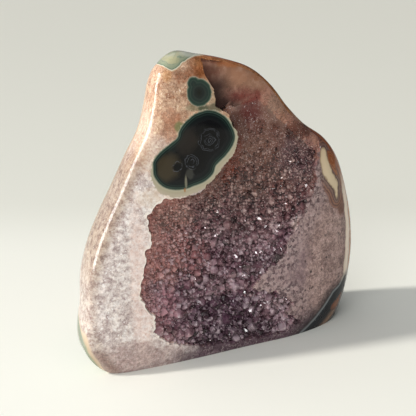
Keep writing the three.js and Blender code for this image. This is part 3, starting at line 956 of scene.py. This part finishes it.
def polished_agate():
    material, tree, shader = new_material("polished agate")
    vector = millimetres(tree)
    front = attribute(tree, "front")
    hollow = attribute(tree, "hollow")
    place = coordinates(vector)
    colour = spots(vector, body_colour(vector), [
        ("f0d9d0", -48, 40, 6, 42, 0.4, 0.6),
        ("e6d6c6", -34, 80, 16, 6, 0.4, 0.7),
        ("a08580", -58, 4, 36, 13, 0.5, 0.65),
        ("4a3640", 4, 2, 40, 9, 0.35, 0.95),
        ("7d666e", 24, 40, 16, 22, 0.5, 0.6),
        ("dcc6b4", -42, 108, 5, 22, 0.5, 0.5),
        ("84492b", -20, 130.5, 9, 4.5, 0.8, 0.55),
        ("b5a083", -11.5, 119, 3, 6, 0.7, 0.6),
        ("a56f55", -31, 112, 5, 10, 0.7, 0.6),
        ("c28a4c", -31.0, 131, 2.2, 3.0, 0.6, 0.4),
        ("5d4846", 45.5, 84, 2.6, 12, 0.5, 0.8),
        ("6b3f2c", 59, 62, 3.2, 7, 0.5, 0.8),
        ("6a5258", 55, 70, 5, 6, 0.5, 0.7),
        ("4a3a40", 49, 95, 2.5, 3.5, 0.4, 0.8),
        ("5c3024", 42, 100.5, 8, 5, 0.5, 0.8),
        ("64382c", 46.5, 96.5, 5.5, 5, 0.3, 0.8),
    ])
    grains = quartz(vector, 1.0, 2.2)
    contrast = plus(times(grains["Grain"], 0.6), times(grains["Cloud"], 0.4))
    colour = mix(0.4, colour, contrast, "OVERLAY")
    shards_per_mm = 0.7
    shard_chances = random_cells(vector, shards_per_mm)[1]
    shard_edges = node(tree, "ShaderNodeTexVoronoi", {
        "Vector": vector, "Scale": shards_per_mm}, feature="DISTANCE_TO_EDGE").outputs[0]
    shard = plus(times(shard_chances[0], 0.3), times(clouds(vector, 1.5, 5.0, 0.75), 0.7))
    shard_light = mix(rise(place[2], 16, 5), "b39a98", "705a64")
    facet_colour = mix(rise(shard, 0.3, 0.66), "45323a", shard_light)
    lit_edge = times(rise(shard_edges, 0.09, 0.02), rise(clouds(vector, 1.6), 0.45, 0.6))
    facet_colour = mix(times(lit_edge, 0.7), facet_colour, "cbbab5")
    near_druse = times(rise(hollow, -13, -5), rise(place[0], -34, -16), rise(place[2], 100, 86))
    colour = mix(times(near_druse, 0.75), colour, facet_colour)
    from_pit, pit_chances = random_cells(vector, 0.33)
    pits = times(rise(from_pit, 0.28, 0.16), rise(pit_chances[1], 0.5, 0.55))
    pit_area = times(rise(place[0], 26, 38), rise(place[2], 62, 40))
    pitted = times(pits, pit_area)
    right = attribute(tree, "right_rind")
    shadowed = plus(right, drift(vector, 8.0, 5.0, 4.0, 0.6))
    shadowed = times(rise(shadowed, -8, -1), rise(place[2], 27, 17))
    colour = mix(times(shadowed, 0.85), colour, "2e282b")
    colour = mix(times(pitted, 0.85), colour, "2b1d1d")
    # A pale rim along the left part of the broken edge: partly whiter quartz, partly a painted highlight
    # on the edge.
    pale_rim_and_highlight = times(rise(hollow, -1.4, -0.2), rise(place[0], -30, -38))
    colour = mix(times(pale_rim_and_highlight, 0.6), colour, "fff4ea")
    cream = plus(attribute(tree, "cream"), drift(vector, 2.0, 3.0))
    streaks = bands(cream, [
        (-6.0, "7a5a50"), (-5.0, "5f4038"), (-4.3, "8f5f4a"), (-3.6, "4a3432"), (-2.9, "9a6a50"),
        (-2.2, "553c38"), (-1.5, "8a6a5c"), (-0.9, "40302f"), (0.0, "8f7662"),
    ])
    streaked = times(rise(cream, -6.0, -4.0), rise(place[0], 43, 49))
    colour = mix(times(streaked, 0.85), colour, streaks)
    colour = right_bands(vector, colour, right)
    colour = left_bands(vector, colour, attribute(tree, "left_rind"))
    for name, stops in (
        ("cream", [(-0.8, "4f403e"), (-0.1, "a58c72"), (0.6, "d6c2a2"), (4, "e0cdae")]),
        ("amber", [(-0.6, "4f3630"), (-0.1, "8a5238"), (0.4, "a06a48"), (0.8, "6f4030"), (1.2, "a8683f"),
                   (1.7, "84492c"), (2.4, "a5704c")]),
        ("russet", [(-0.6, "2a2728"), (0.2, "6a4232"), (2, "8a5538")]),
    ):
        patch = plus(attribute(tree, name), drift(vector, 2.0, 2.5))
        colour = mix(rise(patch, -0.6, 0.0), colour, bands(patch, stops))
    colour = small_eye(vector, colour, front)
    colour = eye_bands(vector, colour, attribute(tree, "eye"), front)
    colour = cap_bands(vector, colour, attribute(tree, "cap"))
    in_hollow = rise(hollow, 0.05, 0.3)
    bare = use_group(hollow_ground, {"Vector": vector})["Colour"]
    sugar = quartz(vector, 0.6, 3.0)
    sugared = rise(place[2], 131, 114)
    dark_grain = times(rise(sugar["Grain"], 0.55, 0.1), 0.7)
    bare = mix(times(dark_grain, sugared), bare, "38231f")
    # Pale specks in the upper hollow: partly pale grains, partly painted glints.
    speck_share = plus(0.15, times(rise(place[2], 122, 104), 0.5))
    bare = mix(times(sugar["Speck"], speck_share), bare, "f0ddd0")
    haze = rise(clouds(vector, 4.0, 4.0, 0.6), 0.45, 0.75)
    haze = times(haze, minus(0.6, times(sugared, 0.4)))
    bare = mix(haze, bare, "bf9a84")
    # Painted shadow of the ridge: a dark band down the upper wall of the hollow, weaker towards the top.
    wall = plus(attribute(tree, "wall"), drift(vector, 4.0, 5.0))
    weaker_above = minus(0.92, times(rise(place[2], 124, 131), 0.35))
    shade = times(rise(wall, 12.5, 3.5), rise(place[2], 98, 110), rise(place[2], 137, 132), weaker_above)
    bare = mix(shade, bare, "231110")
    # Painted light: the shaded wall at the low left ledge is brightened.
    painted_wall_light = times(rise(hollow, 1.8, 0.6), rise(place[0], -22, -34))
    bare = mix(times(painted_wall_light, 0.85), bare, "ffdccf")
    colour = mix(in_hollow, colour, bare)
    tree.links.new(colour, shader.inputs["Base Color"])
    gloss = plus(0.06, times(in_hollow, 0.3))
    tree.links.new(plus(gloss, times(pitted, 0.5)), shader.inputs["Roughness"])
    sugar_height = times(sugar["Grain"], sugared, in_hollow)
    height = minus(times(sugar_height, 0.8), pitted)
    bump = node(tree, "ShaderNodeBump", {"Strength": 0.5, "Distance": 0.0004, "Height": height})
    tree.links.new(bump.outputs[0], shader.inputs["Normal"])
    set_inputs(shader, {
        "IOR": 1.54, "Specular IOR Level": 0.2, "Subsurface Weight": 0.12,
        "Subsurface Radius": (1.0, 0.7, 0.6), "Subsurface Scale": 0.002,
    })
    return material


stone = new_object("polished_stone", stone_mesh())
stone.data.materials.append(polished_agate())
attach(stone, "root")
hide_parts("agate_stone")


# Crust of amethyst crystals
# The druse that lines the hollow: many small six-sided quartz crystals, grown side by side from
# one bed and left natural. They are finest at the top and largest low at the right.

# The bed: its extent as x and z, how far it reaches into the ledge and above its crystals, and depths
CRUST_SIDES = (-52, 50)
CRUST_HEIGHTS = (2, 124)
CRUST_CELL = 1.5
BED_IN_LEDGE = 0.3
CRUST_BED = 1.1
CRUST_THICKNESS = 1.15
CRUST_REACH = 5
HIDDEN_BED = 0.1

# The crystals: the slope of the faces at their points, as in quartz, and how they are scattered
POINT_SLOPE = math.radians(51.8)
CUT_BELOW_FACE = 0.12
CRYSTAL_LAYERS = [
    # spacing, share of the local crystal size, most tilt in degrees, density attribute, seed
    (0.64, 0.85, 36, "fine_share", 3),
    (1.25, 1.15, 34, "middle_share", 11),
    (3.1, 2.1, 26, "large_share", 31),
]
SIZE_SPREAD = (0.5, 1.55)


def crystal_size(x, z):
    """Radius of an ordinary crystal: small at the top and left, and larger low at the right."""
    size = 0.24 + 0.16 * smooth_step(118, 100, z) + 0.22 * smooth_step(104, 60, z)
    size = size + 0.3 * smooth_step(75, 25, z - 0.5 * x)
    return size * (1 + 0.3 * ripple(x, z, 9, 8))


def crust_mesh():
    """The closed bed of the crust, with how large and how close its crystals grow."""
    across = np.arange(*CRUST_SIDES, CRUST_CELL)
    up = np.arange(*CRUST_HEIGHTS, CRUST_CELL)
    grid_x, grid_z = (side.ravel() for side in np.meshgrid(across, up))
    below_top = below_druse_top(grid_x, grid_z)
    inside = depth_inside(grid_x, grid_z, hollow_ring)
    kept = (inside > -BED_IN_LEDGE) & (below_top > -CRUST_REACH)
    sunk = smooth_step(0, BED_RUN_OUT, below_top)
    risen = smooth_step(2, 10, below_top + 2.5 * ripple(grid_x, grid_z, 5, 12))
    bed_depth = BED_DEPTH + (CRUST_BED - BED_DEPTH) * risen
    front = front_y(grid_x, grid_z) + hollow_depth(grid_x, grid_z) + lumps(grid_x, grid_z, inside)
    front = front + bed_depth * sunk + HIDDEN_BED * (1 - risen) - 0.05 * risen
    count = len(grid_x)
    wide = len(across)
    corner = np.arange(count).reshape(len(up), wide)
    quads = np.stack([
        corner[:-1, :-1].ravel(), corner[:-1, 1:].ravel(),
        corner[1:, 1:].ravel(), corner[1:, :-1].ravel(),
    ], axis=1)
    quads = quads[kept[quads].all(axis=1)]
    points = np.concatenate([
        np.stack([grid_x, front, grid_z], axis=1),
        np.stack([grid_x, front + CRUST_THICKNESS, grid_z], axis=1),
    ])
    faces = [tuple(quad) for quad in quads]
    edges = {}
    for quad in faces:
        for a, b in zip(quad, quad[1:] + quad[:1]):
            if (b, a) in edges:
                del edges[(b, a)]
            else:
                edges[(a, b)] = True
    backs = [tuple(count + corner_number for corner_number in reversed(quad)) for quad in faces]
    sides = [(b, a, count + a, count + b) for a, b in edges]
    mesh = bpy.data.meshes.new("crust_bed")
    mesh.from_pydata((points + stone_shift) * MM, [], faces + backs + sides)
    two = np.concatenate([grid_x, grid_x]), np.concatenate([grid_z, grid_z])
    add_attribute(mesh, "crystal_size", crystal_size(*two))
    on_front = np.concatenate([np.ones(count), np.zeros(count)])
    top_fade = smooth_step(-CRUST_REACH, 12, np.concatenate([below_top, below_top]))
    add_attribute(mesh, "tint", 0.2 + 0.35 * smooth_step(88, 112, two[1]))
    # The bed counts as roots, so it takes the crystals' painted root shade.
    add_attribute(mesh, "tip", np.zeros(2 * count))
    add_attribute(mesh, "ledge", np.minimum(chain_distance(*two, LEDGE), FAR))
    low = smooth_step(104, 70, two[1])
    add_attribute(mesh, "fine_share", on_front * top_fade * (1 - 0.55 * low))
    add_attribute(mesh, "middle_share", on_front * top_fade * (0.1 + 0.75 * low))
    right = smooth_step(84, 45, two[1] - 0.35 * two[0])
    add_attribute(mesh, "large_share", on_front * (0.08 + 0.5 * right) * low)
    bed = bmesh.new()
    bed.from_mesh(mesh)
    loose = [vert for vert in bed.verts if not vert.link_faces]
    bmesh.ops.delete(bed, geom=loose, context="VERTS")
    bed.to_mesh(mesh)
    bed.free()
    return mesh


def crystal_object(name, heights):
    """A six-sided quartz crystal of radius 1, with six sloping faces that meet in a point."""
    crystal = bmesh.new()
    bmesh.ops.create_cone(
        crystal, cap_ends=True, cap_tris=False, segments=6, radius1=1, radius2=1,
        depth=4 * max(heights),
    )
    for side, height in enumerate(heights):
        angle = math.radians(30 + 60 * side)
        slope = (
            math.sin(POINT_SLOPE) * math.cos(angle),
            math.sin(POINT_SLOPE) * math.sin(angle),
            math.cos(POINT_SLOPE),
        )
        cut = bmesh.ops.bisect_plane(
            crystal, geom=crystal.verts[:] + crystal.edges[:] + crystal.faces[:],
            plane_co=(0, 0, height), plane_no=slope, clear_outer=True,
        )
        edges = [item for item in cut["geom_cut"] if isinstance(item, bmesh.types.BMEdge)]
        bmesh.ops.edgenet_fill(crystal, edges=edges)
    bmesh.ops.bisect_plane(
        crystal, geom=crystal.verts[:] + crystal.edges[:] + crystal.faces[:],
        plane_co=(0, 0, 0), plane_no=(0, 0, -1), clear_outer=True,
    )
    bmesh.ops.holes_fill(crystal, edges=crystal.edges)
    bmesh.ops.recalc_face_normals(crystal, faces=crystal.faces)
    bmesh.ops.triangulate(crystal, faces=crystal.faces)
    mesh = bpy.data.meshes.new(name)
    crystal.to_mesh(mesh)
    crystal.free()
    up = np.array([vert.co.z for vert in mesh.vertices])
    add_attribute(mesh, "tip", up / up.max())
    return bpy.data.objects.new(name, mesh)


def small_crystal_object(name, height, lean):
    """The point of a small crystal: six faces, with its tip a little off the middle."""
    around = [math.radians(60 * side) for side in range(6)]
    points = [(math.cos(angle), math.sin(angle), -0.3) for angle in around]
    points.append((lean, 0.4 * lean, height))
    sides = [(side, (side + 1) % 6, 6) for side in range(6)]
    mesh = bpy.data.meshes.new(name)
    mesh.from_pydata(points, [], sides + [(5, 4, 3, 2, 1, 0)])
    add_attribute(mesh, "tip", [0.15] * 6 + [1])
    return bpy.data.objects.new(name, mesh)


def crystal_collection(name, shapes):
    """A group of crystal shapes to choose from."""
    collection = bpy.data.collections.new(name)
    for shape in shapes:
        collection.objects.link(shape)
    return collection


def named_values(tree, name):
    inputs = {"Name": name}
    return node(tree, "GeometryNodeInputNamedAttribute", inputs, data_type="FLOAT").outputs["Attribute"]


def random_values(tree, low, high, seed):
    inputs = {2: low, 3: high, "Seed": seed}
    return node(tree, "FunctionNodeRandomValue", inputs, data_type="FLOAT").outputs[1]


def layer_tree():
    """Scatters crystals of one size class over the bed, tilted and turned at random."""
    tree = bpy.data.node_groups.new("Layer of crystals", "GeometryNodeTree")
    tree.interface.new_socket("Bed", in_out="INPUT", socket_type="NodeSocketGeometry")
    for name, kind in (
        ("Crystals", "NodeSocketCollection"), ("Spacing", "NodeSocketFloat"),
        ("Size", "NodeSocketFloat"), ("Most tilt", "NodeSocketFloat"),
        ("Density attribute", "NodeSocketString"), ("Seed", "NodeSocketInt"),
    ):
        tree.interface.new_socket(name, in_out="INPUT", socket_type=kind)
    tree.interface.new_socket("Crystals", in_out="OUTPUT", socket_type="NodeSocketGeometry")
    given = tree.nodes.new("NodeGroupInput").outputs
    result = tree.nodes.new("NodeGroupOutput").inputs
    density = named_values(tree, given["Density attribute"])
    scatter = node(tree, "GeometryNodeDistributePointsOnFaces", {
        "Mesh": given["Bed"], "Distance Min": given["Spacing"], "Density Max": 1e8,
        "Density Factor": density, "Seed": given["Seed"],
    }, distribute_method="POISSON")
    tilt = node(tree, "ShaderNodeCombineXYZ", {
        0: given["Most tilt"], 1: given["Most tilt"], 2: math.pi}).outputs[0]
    back_tilt = node(tree, "ShaderNodeVectorMath", {0: tilt, "Scale": -1.0}, operation="SCALE").outputs[0]
    turn = node(tree, "FunctionNodeRandomValue", {0: back_tilt, 1: tilt, "Seed": given["Seed"]},
                data_type="FLOAT_VECTOR").outputs[0]
    turn = node(tree, "FunctionNodeEulerToRotation", {0: turn}).outputs[0]
    turned = node(tree, "FunctionNodeRotateRotation", {
        "Rotation": scatter.outputs["Rotation"], "Rotate By": turn}, rotation_space="LOCAL").outputs[0]
    local = named_values(tree, "crystal_size")
    spread = random_values(tree, *SIZE_SPREAD, plus(given["Seed"], 7.0))
    size = times(local, spread, given["Size"], MM)
    shapes = node(tree, "GeometryNodeCollectionInfo", {
        "Collection": given["Crystals"], "Separate Children": True, "Reset Children": True}).outputs[0]
    which = node(tree, "FunctionNodeRandomValue", {4: 0, 5: 20, "Seed": given["Seed"]},
                 data_type="INT").outputs[2]
    placed = node(tree, "GeometryNodeInstanceOnPoints", {
        "Points": scatter.outputs["Points"], "Instance": shapes, "Pick Instance": True,
        "Instance Index": which, "Rotation": turned, "Scale": size,
    }).outputs[0]
    tint = random_values(tree, 0.0, 1.0, given["Seed"])
    tinted = node(tree, "GeometryNodeStoreNamedAttribute", {
        "Geometry": placed, "Name": "tint", "Value": tint}, data_type="FLOAT", domain="INSTANCE")
    tree.links.new(tinted.outputs[0], result["Crystals"])
    return tree


def crust_tree():
    """The whole crust: its bed and the layers of crystals that grow from it, as one mesh."""
    tree = bpy.data.node_groups.new("Druse", "GeometryNodeTree")
    tree.is_modifier = True
    for name, kind in (
        ("Bed", "NodeSocketGeometry"), ("Points", "NodeSocketCollection"),
        ("Prisms", "NodeSocketCollection"), ("Size", "NodeSocketFloat"),
        ("Material", "NodeSocketMaterial"),
    ):
        tree.interface.new_socket(name, in_out="INPUT", socket_type=kind)
    tree.interface.new_socket("Crust", in_out="OUTPUT", socket_type="NodeSocketGeometry")
    given = tree.nodes.new("NodeGroupInput").outputs
    result = tree.nodes.new("NodeGroupOutput").inputs
    layer = layer_tree()
    together = tree.nodes.new("GeometryNodeJoinGeometry")
    tree.links.new(given["Bed"], together.inputs[0])
    for number, (spacing, share, tilt, density, seed) in enumerate(CRYSTAL_LAYERS):
        grown = tree.nodes.new("GeometryNodeGroup")
        grown.node_tree = layer
        tree.links.new(given["Bed"], grown.inputs["Bed"])
        tree.links.new(given["Prisms" if number else "Points"], grown.inputs["Crystals"])
        tree.links.new(times(given["Size"], share), grown.inputs["Size"])
        set_inputs(grown, {
            "Spacing": spacing * MM, "Most tilt": math.radians(tilt), "Density attribute": density,
            "Seed": seed,
        })
        tree.links.new(grown.outputs[0], together.inputs[0])
    real = node(tree, "GeometryNodeRealizeInstances", {"Geometry": together.outputs[0]})
    dressed = node(tree, "GeometryNodeSetMaterial", {
        "Geometry": real.outputs[0], "Material": given["Material"]})
    tree.links.new(dressed.outputs[0], result["Crust"])
    return tree


def amethyst():
    material, tree, shader = new_material("amethyst crystals")
    vector = millimetres(tree)
    tint = attribute(tree, "tint")
    clump = quartz(vector, 1.5, 4.0)
    colour = use_group(hollow_ground, {"Vector": vector})["Colour"]
    lightness = plus(times(tint, 0.7), times(clump["Cloud"], 0.3))
    place = coordinates(vector)
    height = place[2]
    side = place[0]
    ledge = attribute(tree, "ledge")
    contrast = plus(0.4, times(rise(height, 118, 98), 0.6))
    beside_eye = times(rise(ledge, 12, 3), rise(side, -30, -16))
    contrast = times(contrast, minus(1.0, times(beside_eye, 0.55)))
    pale = mix(rise(height, 80, 40), "e6c6bc", "d8c2cc")
    pale_share = times(rise(lightness, 0.5, 0.9), times(contrast, 0.7))
    depth = plus(0.55, times(rise(side, -46, -16), 0.35))
    darkest = minus(0.5, times(rise(height, 78, 104), 0.2))
    dark_share = times(rise(lightness, darkest, 0.08), times(contrast, depth))
    colour = mix(pale_share, colour, pale)
    colour = mix(dark_share, colour, mix(rise(height, 70, 95), "26171b", "2c1613"))
    # Crystals beside the low left ledge: partly their redder colour, partly painted light against the
    # ledge's shade, which also keeps their roots from darkening.
    painted_ledge_light = times(rise(ledge, 9.0, 0.5), rise(side, -20, -32))
    painted_ledge_light = times(painted_ledge_light, plus(0.25, times(rise(height, 24, 44), 0.75)))
    colour = mix(times(painted_ledge_light, 0.6), colour, "e8a496")
    # Painted shade at the crystals' roots and on the bed between them, and painted light on their tips.
    tip = attribute(tree, "tip")
    root_shade = times(rise(tip, 0.75, 0.1), times(contrast, depth))
    root_shade = times(root_shade, minus(1.0, times(painted_ledge_light, 0.6)))
    colour = mix(times(root_shade, 0.55), colour, "2c171c")
    lit_tips = times(rise(tip, 0.75, 1.0), rise(lightness, 0.3, 0.8))
    colour = mix(times(lit_tips, 0.6), colour, "f2e2e0")
    # Painted glints: a scatter of small bright specks over the crystals.
    painted_glints = quartz(vector, 0.7, 4.0)
    colour = mix(times(painted_glints["Speck"], 0.7), colour, "f4e6e2")
    tree.links.new(colour, shader.inputs["Base Color"])
    set_inputs(shader, {
        "Roughness": 0.12, "IOR": 1.544, "Specular IOR Level": 0.35, "Transmission Weight": 0.3,
    })
    return material


def grow_crust():
    bed_mesh = crust_mesh()
    grower = new_object("crust_bed", bed_mesh)
    short = crystal_collection("crystal points", [
        small_crystal_object("small_point", 1.3, 0.0),
        small_crystal_object("leaning_point", 1.15, 0.3),
        small_crystal_object("steep_point", 1.6, 0.15),
    ])
    heights = [
        (1.3, 1.55, 1.3, 1.6, 1.3, 1.5), (1.6, 1.6, 1.4, 1.7, 1.5, 1.6), (1.1, 1.6, 1.1, 1.6, 1.15, 1.7),
        (1.35, 1.4, 1.45, 1.4, 1.35, 1.45),
    ]
    tall = crystal_collection("crystal prisms", [
        crystal_object(f"crystal_{number}", shape) for number, shape in enumerate(heights)
    ])
    tree = crust_tree()
    modifier = grower.modifiers.new("druse", "NODES")
    modifier.node_group = tree
    values = {"Points": short, "Prisms": tall, "Size": 1.0, "Material": amethyst()}
    for item in tree.interface.items_tree:
        if item.in_out == "INPUT" and item.name in values:
            modifier[item.identifier] = values[item.name]
    shown = bpy.context.evaluated_depsgraph_get()
    mesh = bpy.data.meshes.new_from_object(grower.evaluated_get(shown))
    mesh.name = "crystal_crust_grown"
    grower.modifiers.remove(modifier)
    bpy.data.objects.remove(grower)
    return mesh


def cut_flush(mesh):
    """Crystals that reach the polished face are cut off flat just behind it."""
    count = len(mesh.vertices)
    points = np.empty(count * 3, np.float32)
    mesh.vertices.foreach_get("co", points)
    points = points.reshape(-1, 3) / MM - stone_shift
    face = front_y(points[:, 0], points[:, 2]) + CUT_BELOW_FACE
    points[:, 1] = np.maximum(points[:, 1], face)
    mesh.vertices.foreach_set("co", ((points + stone_shift) * MM).astype(np.float32).ravel())
    mesh.update()


crust_data = grow_crust()
cut_flush(crust_data)
crust = new_object("amethyst_crust", crust_data)
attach(crust, "root")
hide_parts("crystal_crust")


# Floor
# A plain pale surface that the stone stands on, a little darker away from the camera.
FLOOR_SIZE = 12.0
FLOOR_AWAY = (0.41, 0.91, 0.0)
NEAR_FLOOR = "ecede5"
FAR_FLOOR = "dedfd6"
FLOOR_CHANGE = (0.09, 0.22)


def floor_material():
    material, tree, shader = new_material("pale floor")
    place = node(tree, "ShaderNodeTexCoord").outputs["Object"]
    behind = node(tree, "ShaderNodeVectorMath", {0: place, 1: FLOOR_AWAY}, operation="DOT_PRODUCT")
    colour = mix(rise(behind.outputs["Value"], *FLOOR_CHANGE), NEAR_FLOOR, FAR_FLOOR)
    tree.links.new(colour, shader.inputs["Base Color"])
    shader.inputs["Roughness"].default_value = 0.75
    return material


floor_mesh = bpy.data.meshes.new("floor")
half = FLOOR_SIZE / 2
floor_mesh.from_pydata(
    [(-half, -half, 0), (half, -half, 0), (half, half, 0), (-half, half, 0)], [], [(0, 1, 2, 3)])
floor_mesh.materials.append(floor_material())
floor = new_object("floor", floor_mesh)


# Light
# A pale studio room that is brighter on the left, with a key light low on the left and slightly
# behind the stone, and a soft light before its left side.
KEY_AZIMUTH = math.radians(-103)
KEY_ELEVATION = math.radians(36)
KEY_STRENGTH = 2.6
KEY_SPREAD = math.radians(5)
KEY_COLOUR = (1.0, 0.96, 0.9)
SOFT_PLACE = Vector((-0.6, -0.55, 0.5))
SOFT_AIM = Vector((-0.02, 0, 0.06))
SOFT_SIZE = 0.5
SOFT_POWER = 3.0
WINDOW_AZIMUTH = math.radians(-88)
WINDOW_ELEVATION = math.radians(24)
WINDOW_DISTANCE = 1.2
WINDOW_SIZE = (0.75, 0.85)
WINDOW_POWER = 45.0
BRIGHT_SIDE = "ffffff"
DIM_SIDE = "5c5f63"
ROOM_STRENGTH = 0.82


key_data = bpy.data.lights.new("key light", "SUN")
key_data.energy = KEY_STRENGTH
key_data.angle = KEY_SPREAD
key_data.color = KEY_COLOUR
key = new_object("key light", key_data)
key.rotation_euler = (-direction(KEY_AZIMUTH, KEY_ELEVATION)).to_track_quat("-Z", "Y").to_euler()

soft_data = bpy.data.lights.new("soft light", "AREA")
soft_data.energy = SOFT_POWER
soft_data.size = SOFT_SIZE
soft = new_object("soft light", soft_data)
soft.location = SOFT_PLACE
soft.rotation_euler = (SOFT_AIM - SOFT_PLACE).to_track_quat("-Z", "Y").to_euler()
soft.visible_glossy = False

window_data = bpy.data.lights.new("tall window", "AREA")
window_data.shape = "RECTANGLE"
window_data.size, window_data.size_y = WINDOW_SIZE
window_data.energy = WINDOW_POWER
window = new_object("tall window", window_data)
window_side = direction(WINDOW_AZIMUTH, WINDOW_ELEVATION)
window.location = window_side * WINDOW_DISTANCE
window.rotation_euler = (-window_side).to_track_quat("-Z", "Y").to_euler()
window.visible_diffuse = False
window.visible_transmission = False

world = bpy.data.worlds.new("room")
world.use_nodes = True
room = world.node_tree
looking = node(room, "ShaderNodeTexCoord").outputs["Generated"]
across_room = node(room, "ShaderNodeSeparateXYZ", {0: looking}).outputs[0]
room_light = mix(rise(across_room, 0.8, -0.9), DIM_SIDE, BRIGHT_SIDE)
background = room.nodes["Background"]
room.links.new(room_light, background.inputs["Color"])
background.inputs["Strength"].default_value = ROOM_STRENGTH
bpy.context.scene.world = world
bpy.context.scene.view_settings.view_transform = "Standard"
